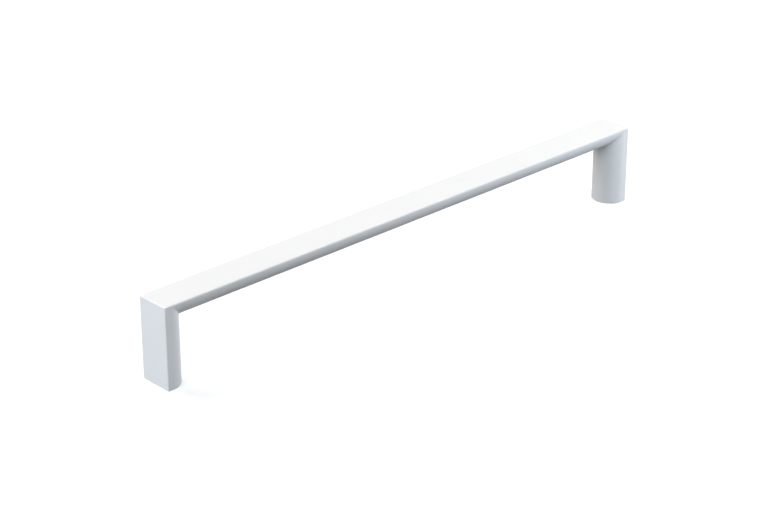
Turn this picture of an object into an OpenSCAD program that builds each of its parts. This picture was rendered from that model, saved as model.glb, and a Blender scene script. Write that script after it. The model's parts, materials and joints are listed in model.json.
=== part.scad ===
// One-piece bridge pull handle for a drawer or a cupboard door.
// The flat grip face is at the top, the two feet stand on z = 0, the bar runs along x.

/* [Overall] */
// Distance between the two screw holes, centre to centre
hole_pitch = 192; // [96:32:320]
// Height of the flat grip face above the furniture face
height = 27; // [24:0.5:40]
// Width of the bar and of both legs, front to back
width = 11.8; // [10:0.2:16]

/* [Bar] */
// Thickness of the bar, from the flat grip face to the lowest line of the round underside
bar_thick = 6.0; // [4.5:0.1:9]
// Straight land left on a side of the bar, between the edge radius and the round underside
edge_land = 0.2; // [0.05:0.05:0.5]

/* [Legs] */
// Straight part of a leg's side, from the flat end face to the round inner side
leg_flank = 2.1; // [1.5:0.1:5]

/* [Edges] */
// Radius along the outer edges of the bar and the legs
edge_r = 0.4; // [0.2:0.05:1.2]
// Radius round each foot where it meets the furniture
foot_r = 0.3; // [0.1:0.05:0.8]

/* [Screw holes] */
// Outside diameter of the screw thread
thread_d = 4; // [3:0.5:5]
// Pitch of the screw thread
thread_pitch = 0.7; // [0.5:0.1:0.8]
// Depth of the tapped hole at its full diameter
core_depth = 12; // [6:0.5:16]
// Extra width of the countersink beyond the thread
mouth_extra = 0.4; // [0.2:0.1:1]
// Point angle of the drilled end
drill_angle = 118; // [90:1:140]

/* [Hidden] */
coating = [0.93, 0.94, 0.95];
fn_large = 128;
fn_small = 48;
spill = 1;

half_w = width / 2;
leg_depth = leg_flank + half_w;
hole_inset = leg_depth / 2;
length = hole_pitch + 2 * hole_inset;
round_x = length / 2 - leg_flank;

// The underside is at most a half round, and the bar's sides cut its arc where that is wider
bar_sag = min(half_w, bar_thick - edge_r - edge_land);
bar_r = (half_w * half_w + bar_sag * bar_sag) / (2 * bar_sag);
// A leg's column ends inside the bar, between the edge radius and the round underside
leg_top = height - edge_r - edge_land / 2;

core_r = (thread_d - thread_pitch) / 2;
mouth_r = (thread_d + mouth_extra) / 2;
drill_tip = core_r / tan(drill_angle / 2);

// Waste outside a quarter round of radius r, with the arc's centre at the origin
module corner_waste(r) {
    difference() {
        square(r + spill);
        circle(r, $fn = fn_small);
    }
}

// Waste at the corner (x, y) of an outline, sx and sy being the way the corner points
module corner_at(x, y, sx, sy, r) {
    translate([x - sx * r, y - sy * r])
        scale([sx, sy])
            corner_waste(r);
}

// Front view of the handle's end: full width and height, with rounded corners
module front_outline() {
    difference() {
        translate([-half_w, 0])
            square([width, height]);
        for (s = [-1, 1]) {
            corner_at(s * half_w, height, s, 1, edge_r);
            corner_at(s * half_w, 0, s, -1, foot_r);
        }
    }
}

// Side view of a leg's straight part, its flat end face at x = 0
module flank_side() {
    difference() {
        square([leg_flank, height]);
        corner_at(0, height, -1, 1, edge_r);
        corner_at(0, 0, -1, -1, foot_r);
    }
}

// Plan view of a leg's straight part, its flat end face at x = 0
module flank_plan() {
    difference() {
        translate([0, -half_w])
            square([leg_flank, width]);
        for (s = [-1, 1])
            corner_at(0, s * half_w, -1, s, edge_r);
    }
}

// Straight part of a leg, rounded along every outer edge
module flank_block() {
    intersection() {
        rotate([90, 0, 90])
            linear_extrude(leg_flank)
                front_outline();
        rotate([90, 0, 0])
            translate([0, 0, -half_w])
                linear_extrude(width)
                    flank_side();
        linear_extrude(height)
            flank_plan();
    }
}

// Round inner side of a leg: a half column with a rounded foot edge
module round_side() {
    rotate([0, 0, -90])
        rotate_extrude(angle = 180, $fn = fn_large)
            difference() {
                square([half_w, leg_top]);
                corner_at(half_w, 0, 1, -1, foot_r);
            }
}

// Section of the bar: flat face up, short straight sides, round underside
module bar_section() {
    difference() {
        intersection() {
            translate([-half_w, -bar_thick - spill])
                square([width, bar_thick + spill]);
            translate([0, bar_r - bar_thick]) {
                circle(bar_r, $fn = fn_large);
                translate([-bar_r, 0])
                    square([2 * bar_r, bar_thick]);
            }
        }
        for (s = [-1, 1])
            corner_at(s * half_w, 0, s, 1, edge_r);
    }
}

// Bar between the straight parts of the two legs
module bar() {
    translate([-round_x, 0, height])
        rotate([90, 0, 90])
            linear_extrude(2 * round_x)
                bar_section();
}

// Leg at the -x end
module leg() {
    translate([-length / 2, 0, 0])
        flank_block();
    translate([-round_x, 0, 0])
        round_side();
}

// Blind tapped hole, with a countersunk mouth and a drill point
module screw_hole() {
    translate([0, 0, -spill])
        cylinder(r = core_r, h = core_depth + spill, $fn = fn_small);
    translate([0, 0, core_depth])
        cylinder(r1 = core_r, r2 = 0, h = drill_tip, $fn = fn_small);
    translate([0, 0, -spill])
        cylinder(r1 = mouth_r + spill, r2 = core_r, h = mouth_r - core_r + spill, $fn = fn_small);
}

module handle() {
    color(coating)
        difference() {
            union() {
                bar();
                leg();
                mirror([1, 0, 0])
                    leg();
            }
            for (s = [-1, 1])
                translate([s * hole_pitch / 2, 0, 0])
                    screw_hole();
        }
}

handle();
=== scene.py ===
import json
import math

import bmesh
import bpy
from mathutils import Matrix, Vector


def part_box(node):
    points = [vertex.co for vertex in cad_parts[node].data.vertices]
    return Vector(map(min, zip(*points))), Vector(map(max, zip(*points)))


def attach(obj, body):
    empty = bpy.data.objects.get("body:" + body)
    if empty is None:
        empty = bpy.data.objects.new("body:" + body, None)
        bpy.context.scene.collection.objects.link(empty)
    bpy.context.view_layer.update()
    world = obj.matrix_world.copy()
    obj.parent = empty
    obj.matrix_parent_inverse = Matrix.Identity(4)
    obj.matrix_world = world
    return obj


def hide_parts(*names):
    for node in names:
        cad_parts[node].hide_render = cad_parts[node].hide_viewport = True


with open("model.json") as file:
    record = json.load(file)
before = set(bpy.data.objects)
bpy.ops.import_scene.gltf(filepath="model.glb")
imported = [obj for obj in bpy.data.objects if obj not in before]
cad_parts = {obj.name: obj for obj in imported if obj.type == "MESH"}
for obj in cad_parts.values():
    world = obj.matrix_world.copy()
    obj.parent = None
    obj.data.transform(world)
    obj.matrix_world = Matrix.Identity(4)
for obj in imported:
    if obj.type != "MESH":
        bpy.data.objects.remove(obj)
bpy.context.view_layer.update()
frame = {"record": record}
handleLow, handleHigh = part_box("handle")
mounts = {mount["name"]: mount for mount in frame["record"]["mounts"]}
mm = 0.001
print("frame loaded, handle is", [round(v / mm, 2) for v in handleHigh - handleLow], "mm")


# the casting: bar, legs, rounded edges and tapped holes in one skin
handleShape = {
    "barThickness": 6.0 * mm,
    "legFlank": 2.1 * mm,  # straight side of a leg, from the end face to the round
    "edgeRadius": 0.4 * mm,
    "edgeLand": 0.2 * mm,  # straight side of the bar under the edge radius
    "creaseRadius": 0.25 * mm,  # inside corner between a leg and the bar
    "footRadius": 0.3 * mm,
    "edgeSteps": 6,
    "flatSteps": 6,
    "roundSteps": 40,
    "legRows": 10,
    "barRows": 30,
    "footSteps": 4,
    "shadingWeight": 50,  # 50 weighs each face's shading by its area alone
}
tappedHole = {
    "threadDiameter": 4.0 * mm,
    "threadPitch": 0.7 * mm,
    "mouthExtra": 0.4 * mm,  # countersink is this much wider than the thread
    "drillAngle": 118,
    "runOut": 1.4 * mm,  # length over which the last turns fade
    "plainEnd": 0.7 * mm,  # bore without thread past the last turn
    "crestFlat": 0.25,  # shares of the pitch
    "rootFlat": 0.125,
    "columns": 48,
    "rowsPerPitch": 10,
}

halfWidth = (handleHigh.y - handleLow.y) / 2
halfLength = (handleHigh.x - handleLow.x) / 2
gripHeight = handleHigh.z
edge = handleShape["edgeRadius"]
legFlank = handleShape["legFlank"]
barSide = edge + handleShape["edgeLand"]
barSag = handleShape["barThickness"] - barSide
barRadius = (halfWidth ** 2 + barSag ** 2) / (2 * barSag)
barCentre = handleShape["barThickness"] - barRadius


def outerLine():
    # front edge round, flat face, back edge round: (depth, across, normal depth, normal across)
    steps = handleShape["edgeSteps"]
    flatSteps = handleShape["flatSteps"]
    flatHalf = halfWidth - edge
    rounds = []
    for k in range(steps + 1):
        turn = math.pi / 2 * k / steps
        inward, outward = math.sin(turn), math.cos(turn)
        rounds.append((edge - edge * inward, flatHalf + edge * outward, -inward, outward))
    line = []
    for depth, across, normalDepth, normalAcross in rounds:
        line.append((depth, -across, normalDepth, -normalAcross))
    for k in range(1, flatSteps):
        line.append((0.0, flatHalf * (2 * k / flatSteps - 1), -1.0, 0.0))
    return line + rounds[::-1]


def innerLine(ofLeg):
    # round inner side from back to front, with the same across values on the leg and the bar
    line = []
    for k in range(handleShape["roundSteps"] + 1):
        turn = math.pi * k / handleShape["roundSteps"]
        across = halfWidth * math.cos(turn)
        if ofLeg:
            line.append((legFlank + halfWidth * math.sin(turn), across, math.sin(turn), math.cos(turn)))
        else:
            drop = math.sqrt(barRadius ** 2 - across ** 2)
            line.append((barCentre + drop, across, drop / barRadius, across / barRadius))
    return line


def cornerRows(outer, legInner, barInner):
    # rows that turn from the leg to the bar: (along, across, down), the outside about the edge
    # radius and the inside about the crease radius
    crease = handleShape["creaseRadius"]
    rows = []
    for k in range(handleShape["edgeSteps"] + 1):
        turn = math.pi / 2 * k / handleShape["edgeSteps"]
        row = []
        for depth, across, _, _ in outer:
            reach = edge - depth
            row.append((edge - reach * math.cos(turn), across, edge - reach * math.sin(turn)))
        for leg, bar in zip(legInner, barInner):
            along = leg[0] + crease * (1 - math.cos(turn))
            down = bar[0] + crease * (1 - math.sin(turn))
            row.append((along, leg[1], down))
        rows.append(row)
    return rows


def legRowsDown(startRow, section):
    # straight down to the foot, then in under the foot's round
    footRound = handleShape["footRadius"]
    footDown = gripHeight - footRound
    rows = []
    for j in range(1, handleShape["legRows"] + 1):
        share = j / handleShape["legRows"]
        row = [(along, across, down + (footDown - down) * share) for along, across, down in startRow]
        rows.append(row)
    for j in range(1, handleShape["footSteps"] + 1):
        turn = math.pi / 2 * j / handleShape["footSteps"]
        inset = footRound * (1 - math.cos(turn))
        down = footDown + footRound * math.sin(turn)
        row = []
        for depth, across, normalDepth, normalAcross in section:
            row.append((depth - inset * normalDepth, across - inset * normalAcross, down))
        rows.append(row)
    return rows


def barRowsAlong(startRow):
    # from the corner to the middle of the bar
    rows = []
    for j in range(1, handleShape["barRows"] + 1):
        share = j / handleShape["barRows"]
        row = [(along + (halfLength - along) * share, across, down) for along, across, down in startRow]
        rows.append(row)
    return rows


def addVert(bm, point, side):
    along, across, down = point
    return bm.verts.new((side * (halfLength - along), across, gripHeight - down))


def addRow(bm, row, side):
    return [addVert(bm, point, side) for point in row]


def joinRows(bm, first, second):
    # ring of faces, with triangles where both rows share a vertex
    for i in range(len(first)):
        n = (i + 1) % len(first)
        corners = []
        for vert in (first[i], first[n], second[n], second[i]):
            if vert not in corners:
                corners.append(vert)
        if len(corners) > 2:
            bm.faces.new(corners)


def layRows(bm, start, rows, side):
    # rows one after another from a row of vertices; gives back the last one
    last = start
    for row in rows:
        verts = addRow(bm, row, side)
        joinRows(bm, last, verts)
        last = verts
    return last


def addEnd(bm, side, middleRow):
    # one leg and its half of the bar; gives back the foot's row and the middle row
    outer = outerLine()
    legInner = innerLine(True)
    corner = cornerRows(outer, legInner, innerLine(False))
    poles = (0, len(outer) - 1)  # the edge rounds close to a point on each flat side
    start = addRow(bm, corner[0], side)
    last = start
    for row in corner[1:]:
        verts = [start[i] if i in poles else addVert(bm, point, side) for i, point in enumerate(row)]
        joinRows(bm, last, verts)
        last = verts
    footRow = layRows(bm, start, legRowsDown(corner[0], outer + legInner), side)
    along = barRowsAlong(corner[-1])
    last = layRows(bm, last, along[:-1], side)
    if middleRow is None:
        middleRow = addRow(bm, along[-1], side)
    joinRows(bm, last, middleRow)
    return footRow, middleRow


def threadShape(share):
    # 0 on the crest at the core diameter, 1 on the root at the thread's full diameter
    fromCrest = abs(share - math.floor(share + 0.5))
    start = tappedHole["crestFlat"] / 2
    end = 0.5 - tappedHole["rootFlat"] / 2
    return min(1.0, max(0.0, (fromCrest - start) / (end - start)))


def addHole(bm, mount):
    # countersunk mouth, thread, drill point; gives back the mouth's row and the faces of bare metal
    place = Vector(mount["pos_m"])
    coreRadius = mount["dims"]["r_mm"] * mm
    threadRadius = tappedHole["threadDiameter"] / 2
    mouthRadius = threadRadius + tappedHole["mouthExtra"] / 2
    mouthDepth = mouthRadius - coreRadius
    coreDepth = mouthDepth + mount["dims"]["length_mm"] * mm
    threadEnd = coreDepth - tappedHole["plainEnd"]
    pitch = tappedHole["threadPitch"]
    columns = tappedHole["columns"]
    count = round(coreDepth / pitch * tappedHole["rowsPerPitch"])
    rows = []
    for j in range(count + 1):
        z = coreDepth * j / count
        fade = min(1.0, max(0.0, (threadEnd - z) / tappedHole["runOut"]))
        row = []
        for i in range(columns):
            turn = 2 * math.pi * i / columns
            cut = fade * (threadRadius - coreRadius) * threadShape(z / pitch - i / columns)
            radius = max(coreRadius + cut, mouthRadius - z)
            x = place.x + radius * math.cos(turn)
            y = place.y + radius * math.sin(turn)
            row.append(bm.verts.new((x, y, z)))
        rows.append(row)
    before = set(bm.faces)
    for first, second in zip(rows, rows[1:]):
        joinRows(bm, first, second)
    tipDepth = coreDepth + coreRadius / math.tan(math.radians(tappedHole["drillAngle"] / 2))
    tip = bm.verts.new((place.x, place.y, tipDepth))
    for i in range(columns):
        bm.faces.new((rows[-1][i], rows[-1][(i + 1) % columns], tip))
    metal = [f for f in bm.faces if f not in before and f.calc_center_median().z > mouthDepth]
    return rows[0], metal


def rowEdges(bm, row):
    return [bm.edges.get((row[i], row[(i + 1) % len(row)])) for i in range(len(row))]


def makeHandle(coating, bareMetal):
    bm = bmesh.new()
    leftFoot, middleRow = addEnd(bm, -1, None)
    rightFoot, middleRow = addEnd(bm, 1, middleRow)
    metalFaces = []
    for footRow, name in ((leftFoot, "screw_hole_left"), (rightFoot, "screw_hole_right")):
        mouthRow, metal = addHole(bm, mounts[name])
        metalFaces += metal
        foot = rowEdges(bm, footRow) + rowEdges(bm, mouthRow)
        bmesh.ops.triangle_fill(bm, use_beauty=True, edges=foot, normal=(0, 0, -1))
    for face in bm.faces:
        face.smooth = True
    for face in metalFaces:
        face.material_index = 1
    bmesh.ops.recalc_face_normals(bm, faces=bm.faces[:])
    mesh = bpy.data.meshes.new("pull_handle")
    bm.to_mesh(mesh)
    bm.free()
    mesh.materials.append(coating)
    mesh.materials.append(bareMetal)
    handle = bpy.data.objects.new("pull_handle", mesh)
    bpy.context.scene.collection.objects.link(handle)
    evenShading = handle.modifiers.new("evenShading", "WEIGHTED_NORMAL")
    evenShading.weight = handleShape["shadingWeight"]
    print("handle skin has", len(mesh.polygons), "faces")
    return handle


noiseSpread = (0.3, 0.7)  # most of a noise's values lie between these


def startMaterial(name):
    material = bpy.data.materials.new(name)
    material.use_nodes = True
    nodes, links = material.node_tree.nodes, material.node_tree.links
    nodes.clear()
    output = nodes.new("ShaderNodeOutputMaterial")
    return material, nodes, links, output


def noiseNode(nodes, links, coords, size, detail):
    noise = nodes.new("ShaderNodeTexNoise")
    noise.inputs["Scale"].default_value = 1 / size
    noise.inputs["Detail"].default_value = detail
    links.new(coords.outputs["Object"], noise.inputs["Vector"])
    return noise.outputs["Fac"]


def rangeNode(nodes, links, value, before, after):
    # stretches a value from one (low, high) pair to another
    spread = nodes.new("ShaderNodeMapRange")
    spread.inputs["From Min"].default_value = before[0]
    spread.inputs["From Max"].default_value = before[1]
    spread.inputs["To Min"].default_value = after[0]
    spread.inputs["To Max"].default_value = after[1]
    links.new(value, spread.inputs["Value"])
    return spread.outputs["Result"]


def tintNode(nodes, links, noise, low, high):
    tint = nodes.new("ShaderNodeMix")
    tint.data_type = "RGBA"
    tint.inputs["A"].default_value = low
    tint.inputs["B"].default_value = high
    links.new(rangeNode(nodes, links, noise, noiseSpread, (0, 1)), tint.inputs["Factor"])
    return tint.outputs["Result"]


def bumpNode(nodes, links, noise, height, under=None):
    bump = nodes.new("ShaderNodeBump")
    bump.inputs["Strength"].default_value = 1.0
    bump.inputs["Distance"].default_value = height
    links.new(noise, bump.inputs["Height"])
    if under is not None:
        links.new(under, bump.inputs["Normal"])
    return bump.outputs["Normal"]


# white coating: matte, with a fine grain and a shallow orange peel
coatingLook = {
    "colour": (0.86, 0.868, 0.876, 1),
    "colourThin": (0.845, 0.855, 0.866, 1),
    "roughness": (0.62, 0.76),
    "ior": 1.5,
    "cloudSize": 18 * mm,
    "cloudDetail": 3,
    "peelSize": 1.1 * mm,
    "peelDetail": 2,
    "peelHeight": 0.006 * mm,
    "grainSize": 0.16 * mm,
    "grainDetail": 2,
    "grainHeight": 0.0012 * mm,
}


def makeCoating():
    material, nodes, links, output = startMaterial("white_coating")
    shader = nodes.new("ShaderNodeBsdfPrincipled")
    links.new(shader.outputs["BSDF"], output.inputs["Surface"])
    shader.inputs["IOR"].default_value = coatingLook["ior"]
    coords = nodes.new("ShaderNodeTexCoord")
    clouds = noiseNode(nodes, links, coords, coatingLook["cloudSize"], coatingLook["cloudDetail"])
    peel = noiseNode(nodes, links, coords, coatingLook["peelSize"], coatingLook["peelDetail"])
    grain = noiseNode(nodes, links, coords, coatingLook["grainSize"], coatingLook["grainDetail"])
    tint = tintNode(nodes, links, clouds, coatingLook["colourThin"], coatingLook["colour"])
    links.new(tint, shader.inputs["Base Color"])
    gloss = rangeNode(nodes, links, peel, noiseSpread, coatingLook["roughness"])
    links.new(gloss, shader.inputs["Roughness"])
    peelBump = bumpNode(nodes, links, peel, coatingLook["peelHeight"])
    grainBump = bumpNode(nodes, links, grain, coatingLook["grainHeight"], peelBump)
    links.new(grainBump, shader.inputs["Normal"])
    return material


# bare zinc in the tapped holes, cut after coating
zincLook = {
    "bright": (0.62, 0.62, 0.63, 1),
    "dull": (0.42, 0.42, 0.43, 1),
    "roughness": (0.3, 0.5),
    "smearSize": 0.5 * mm,
    "smearDetail": 4,
}


def makeZinc():
    material, nodes, links, output = startMaterial("bare_zinc")
    shader = nodes.new("ShaderNodeBsdfPrincipled")
    links.new(shader.outputs["BSDF"], output.inputs["Surface"])
    shader.inputs["Metallic"].default_value = 1.0
    coords = nodes.new("ShaderNodeTexCoord")
    smear = noiseNode(nodes, links, coords, zincLook["smearSize"], zincLook["smearDetail"])
    tint = tintNode(nodes, links, smear, zincLook["dull"], zincLook["bright"])
    links.new(tint, shader.inputs["Base Color"])
    gloss = rangeNode(nodes, links, smear, noiseSpread, zincLook["roughness"])
    links.new(gloss, shader.inputs["Roughness"])
    return material


handle = makeHandle(makeCoating(), makeZinc())
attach(handle, "root")
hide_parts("handle")
print("handle in place")


# camera at the photograph's angle, angles in degrees; the aim is off the origin by right and up
cameraView = {
    "azimuth": -43.464,
    "elevation": 25.137,
    "distance": 705.6 * mm,
    "right": -6.449 * mm,
    "up": 8.195 * mm,
    "lens": 104.01,
    "sensor": 36,
    "clip": (0.01, 20),
}


def makeCamera():
    turn, tilt = math.radians(cameraView["azimuth"]), math.radians(cameraView["elevation"])
    back = Vector((math.sin(turn) * math.cos(tilt), -math.cos(turn) * math.cos(tilt), math.sin(tilt)))
    right = Vector((math.cos(turn), math.sin(turn), 0))
    up = back.cross(right)
    data = bpy.data.cameras.new("camera")
    data.lens = cameraView["lens"]
    data.sensor_width = cameraView["sensor"]
    data.clip_start, data.clip_end = cameraView["clip"]
    camera = bpy.data.objects.new("camera", data)
    bpy.context.scene.collection.objects.link(camera)
    place = right * cameraView["right"] + up * cameraView["up"] + back * cameraView["distance"]
    camera.matrix_world = Matrix.Translation(place) @ Matrix((right, up, back)).transposed().to_4x4()
    bpy.context.scene.camera = camera


makeCamera()
print("camera placed")


# pale floor: white where it is seen, dark to the light that bounces off it
floorLook = {
    "reach": 3.0,
    "lift": 0.02 * mm,  # keeps the feet's undersides clear of it, as seen from below
    "colour": (0.8, 0.8, 0.8, 1),
    "bounceColour": (0.08, 0.08, 0.08, 1),
    "glow": (0.4, 1.0),  # by the handle, where its shadow shows, and further out
    "glowFade": (0.2, 0.5),  # distances from the handle's middle between which the glow grows
}


def seenRays(nodes, links):
    # 1 for rays that show the background: from the camera, off gloss or through glass
    path = nodes.new("ShaderNodeLightPath")
    total = path.outputs["Is Camera Ray"]
    for kind in ("Is Glossy Ray", "Is Transmission Ray"):
        either = nodes.new("ShaderNodeMath")
        either.operation = "MAXIMUM"
        links.new(total, either.inputs[0])
        links.new(path.outputs[kind], either.inputs[1])
        total = either.outputs["Value"]
    return total


def makeFloorMaterial():
    material, nodes, links, output = startMaterial("pale_floor")
    pale = nodes.new("ShaderNodeBsdfDiffuse")
    pale.inputs["Color"].default_value = floorLook["colour"]
    glow = nodes.new("ShaderNodeEmission")
    coords = nodes.new("ShaderNodeTexCoord")
    distance = nodes.new("ShaderNodeVectorMath")
    distance.operation = "LENGTH"
    links.new(coords.outputs["Object"], distance.inputs[0])
    level = rangeNode(nodes, links, distance.outputs["Value"], floorLook["glowFade"], floorLook["glow"])
    links.new(level, glow.inputs["Strength"])
    white = nodes.new("ShaderNodeAddShader")
    links.new(pale.outputs["BSDF"], white.inputs[0])
    links.new(glow.outputs["Emission"], white.inputs[1])
    bounce = nodes.new("ShaderNodeBsdfDiffuse")
    bounce.inputs["Color"].default_value = floorLook["bounceColour"]
    pick = nodes.new("ShaderNodeMixShader")
    links.new(seenRays(nodes, links), pick.inputs["Fac"])
    links.new(bounce.outputs["BSDF"], pick.inputs[1])
    links.new(white.outputs["Shader"], pick.inputs[2])
    clear = nodes.new("ShaderNodeBsdfTransparent")
    face = nodes.new("ShaderNodeNewGeometry")
    oneSided = nodes.new("ShaderNodeMixShader")  # see-through from below
    links.new(face.outputs["Backfacing"], oneSided.inputs["Fac"])
    links.new(pick.outputs["Shader"], oneSided.inputs[1])
    links.new(clear.outputs["BSDF"], oneSided.inputs[2])
    links.new(oneSided.outputs["Shader"], output.inputs["Surface"])
    return material


def makeFloor():
    reach = floorLook["reach"]
    corners = [(-reach, -reach, 0), (reach, -reach, 0), (reach, reach, 0), (-reach, reach, 0)]
    mesh = bpy.data.meshes.new("floor")
    mesh.from_pydata(corners, [], [(0, 1, 2, 3)])
    mesh.materials.append(makeFloorMaterial())
    floor = bpy.data.objects.new("floor", mesh)
    bpy.context.scene.collection.objects.link(floor)
    floor.location.z = floorLook["lift"]


makeFloor()
print("floor laid")


# soft studio lamps: where each hangs, what it looks at, its size in metres and its power in watts
lamps = {
    "behind": {
        "at": (-0.16, 0.55, 0.75),
        "aim": (0, 0, 0),
        "size": 0.6,
        "power": 6.15,
        "colour": (1, 0.93, 0.88),
    },
    "left": {
        "at": (-1.4, -0.3, 0.6),
        "aim": (0, 0, 0.01),
        "size": 1.0,
        "power": 19.6,
        "colour": (0.88, 0.95, 1),
    },
    "right": {
        "at": (1.0, -0.25, 0.12),
        "aim": (-0.05, 0, 0.012),
        "size": 0.4,
        "power": 6.5,
        "colour": (0.82, 0.92, 1),
    },
    "farLegHigh": {
        "at": (0.3, -0.3, 0.42),
        "aim": (0.08, 0, 0.01),
        "size": 0.25,
        "power": 1.22,
        "colour": (1, 0.98, 0.94),
    },
    "farLegLow": {
        "at": (0.24, -0.2, 0.06),
        "aim": (0.1, 0, 0.01),
        "size": 0.12,
        "power": 0.25,
        "colour": (0.78, 0.89, 1),
    },
}


def makeLamps():
    for name, lamp in lamps.items():
        data = bpy.data.lights.new(name, "AREA")
        data.shape = "SQUARE"
        data.size = lamp["size"]
        data.energy = lamp["power"]
        data.color = lamp["colour"]
        light = bpy.data.objects.new(name, data)
        bpy.context.scene.collection.objects.link(light)
        light.location = lamp["at"]
        toAim = Vector(lamp["aim"]) - Vector(lamp["at"])
        light.rotation_euler = toAim.to_track_quat("-Z", "Y").to_euler()


# white background with a little light of its own, more of it from below
worldLook = {
    "background": (1, 1, 1, 1),
    "colour": (0.9, 0.95, 1.0, 1),
    "strength": 0.03,
    "strengthBelow": 0.6,  # reaches only the undersides of the feet, because the floor stops the rest
}


def makeWorld():
    world = bpy.data.worlds.new("studio")
    bpy.context.scene.world = world
    world.use_nodes = True
    nodes, links = world.node_tree.nodes, world.node_tree.links
    nodes.clear()
    output = nodes.new("ShaderNodeOutputWorld")
    coords = nodes.new("ShaderNodeTexCoord")
    split = nodes.new("ShaderNodeSeparateXYZ")
    links.new(coords.outputs["Generated"], split.inputs["Vector"])
    isBelow = nodes.new("ShaderNodeMath")
    isBelow.operation = "LESS_THAN"
    links.new(split.outputs["Z"], isBelow.inputs[0])
    isBelow.inputs[1].default_value = 0
    strengths = (worldLook["strength"], worldLook["strengthBelow"])
    ambient = nodes.new("ShaderNodeBackground")
    ambient.inputs["Color"].default_value = worldLook["colour"]
    level = rangeNode(nodes, links, isBelow.outputs["Value"], (0, 1), strengths)
    links.new(level, ambient.inputs["Strength"])
    white = nodes.new("ShaderNodeBackground")
    white.inputs["Color"].default_value = worldLook["background"]
    pick = nodes.new("ShaderNodeMixShader")
    links.new(seenRays(nodes, links), pick.inputs["Fac"])
    links.new(ambient.outputs["Background"], pick.inputs[1])
    links.new(white.outputs["Background"], pick.inputs[2])
    links.new(pick.outputs["Shader"], output.inputs["Surface"])


makeLamps()
makeWorld()
bpy.context.scene.view_settings.view_transform = "Standard"
print("lamps and world set")
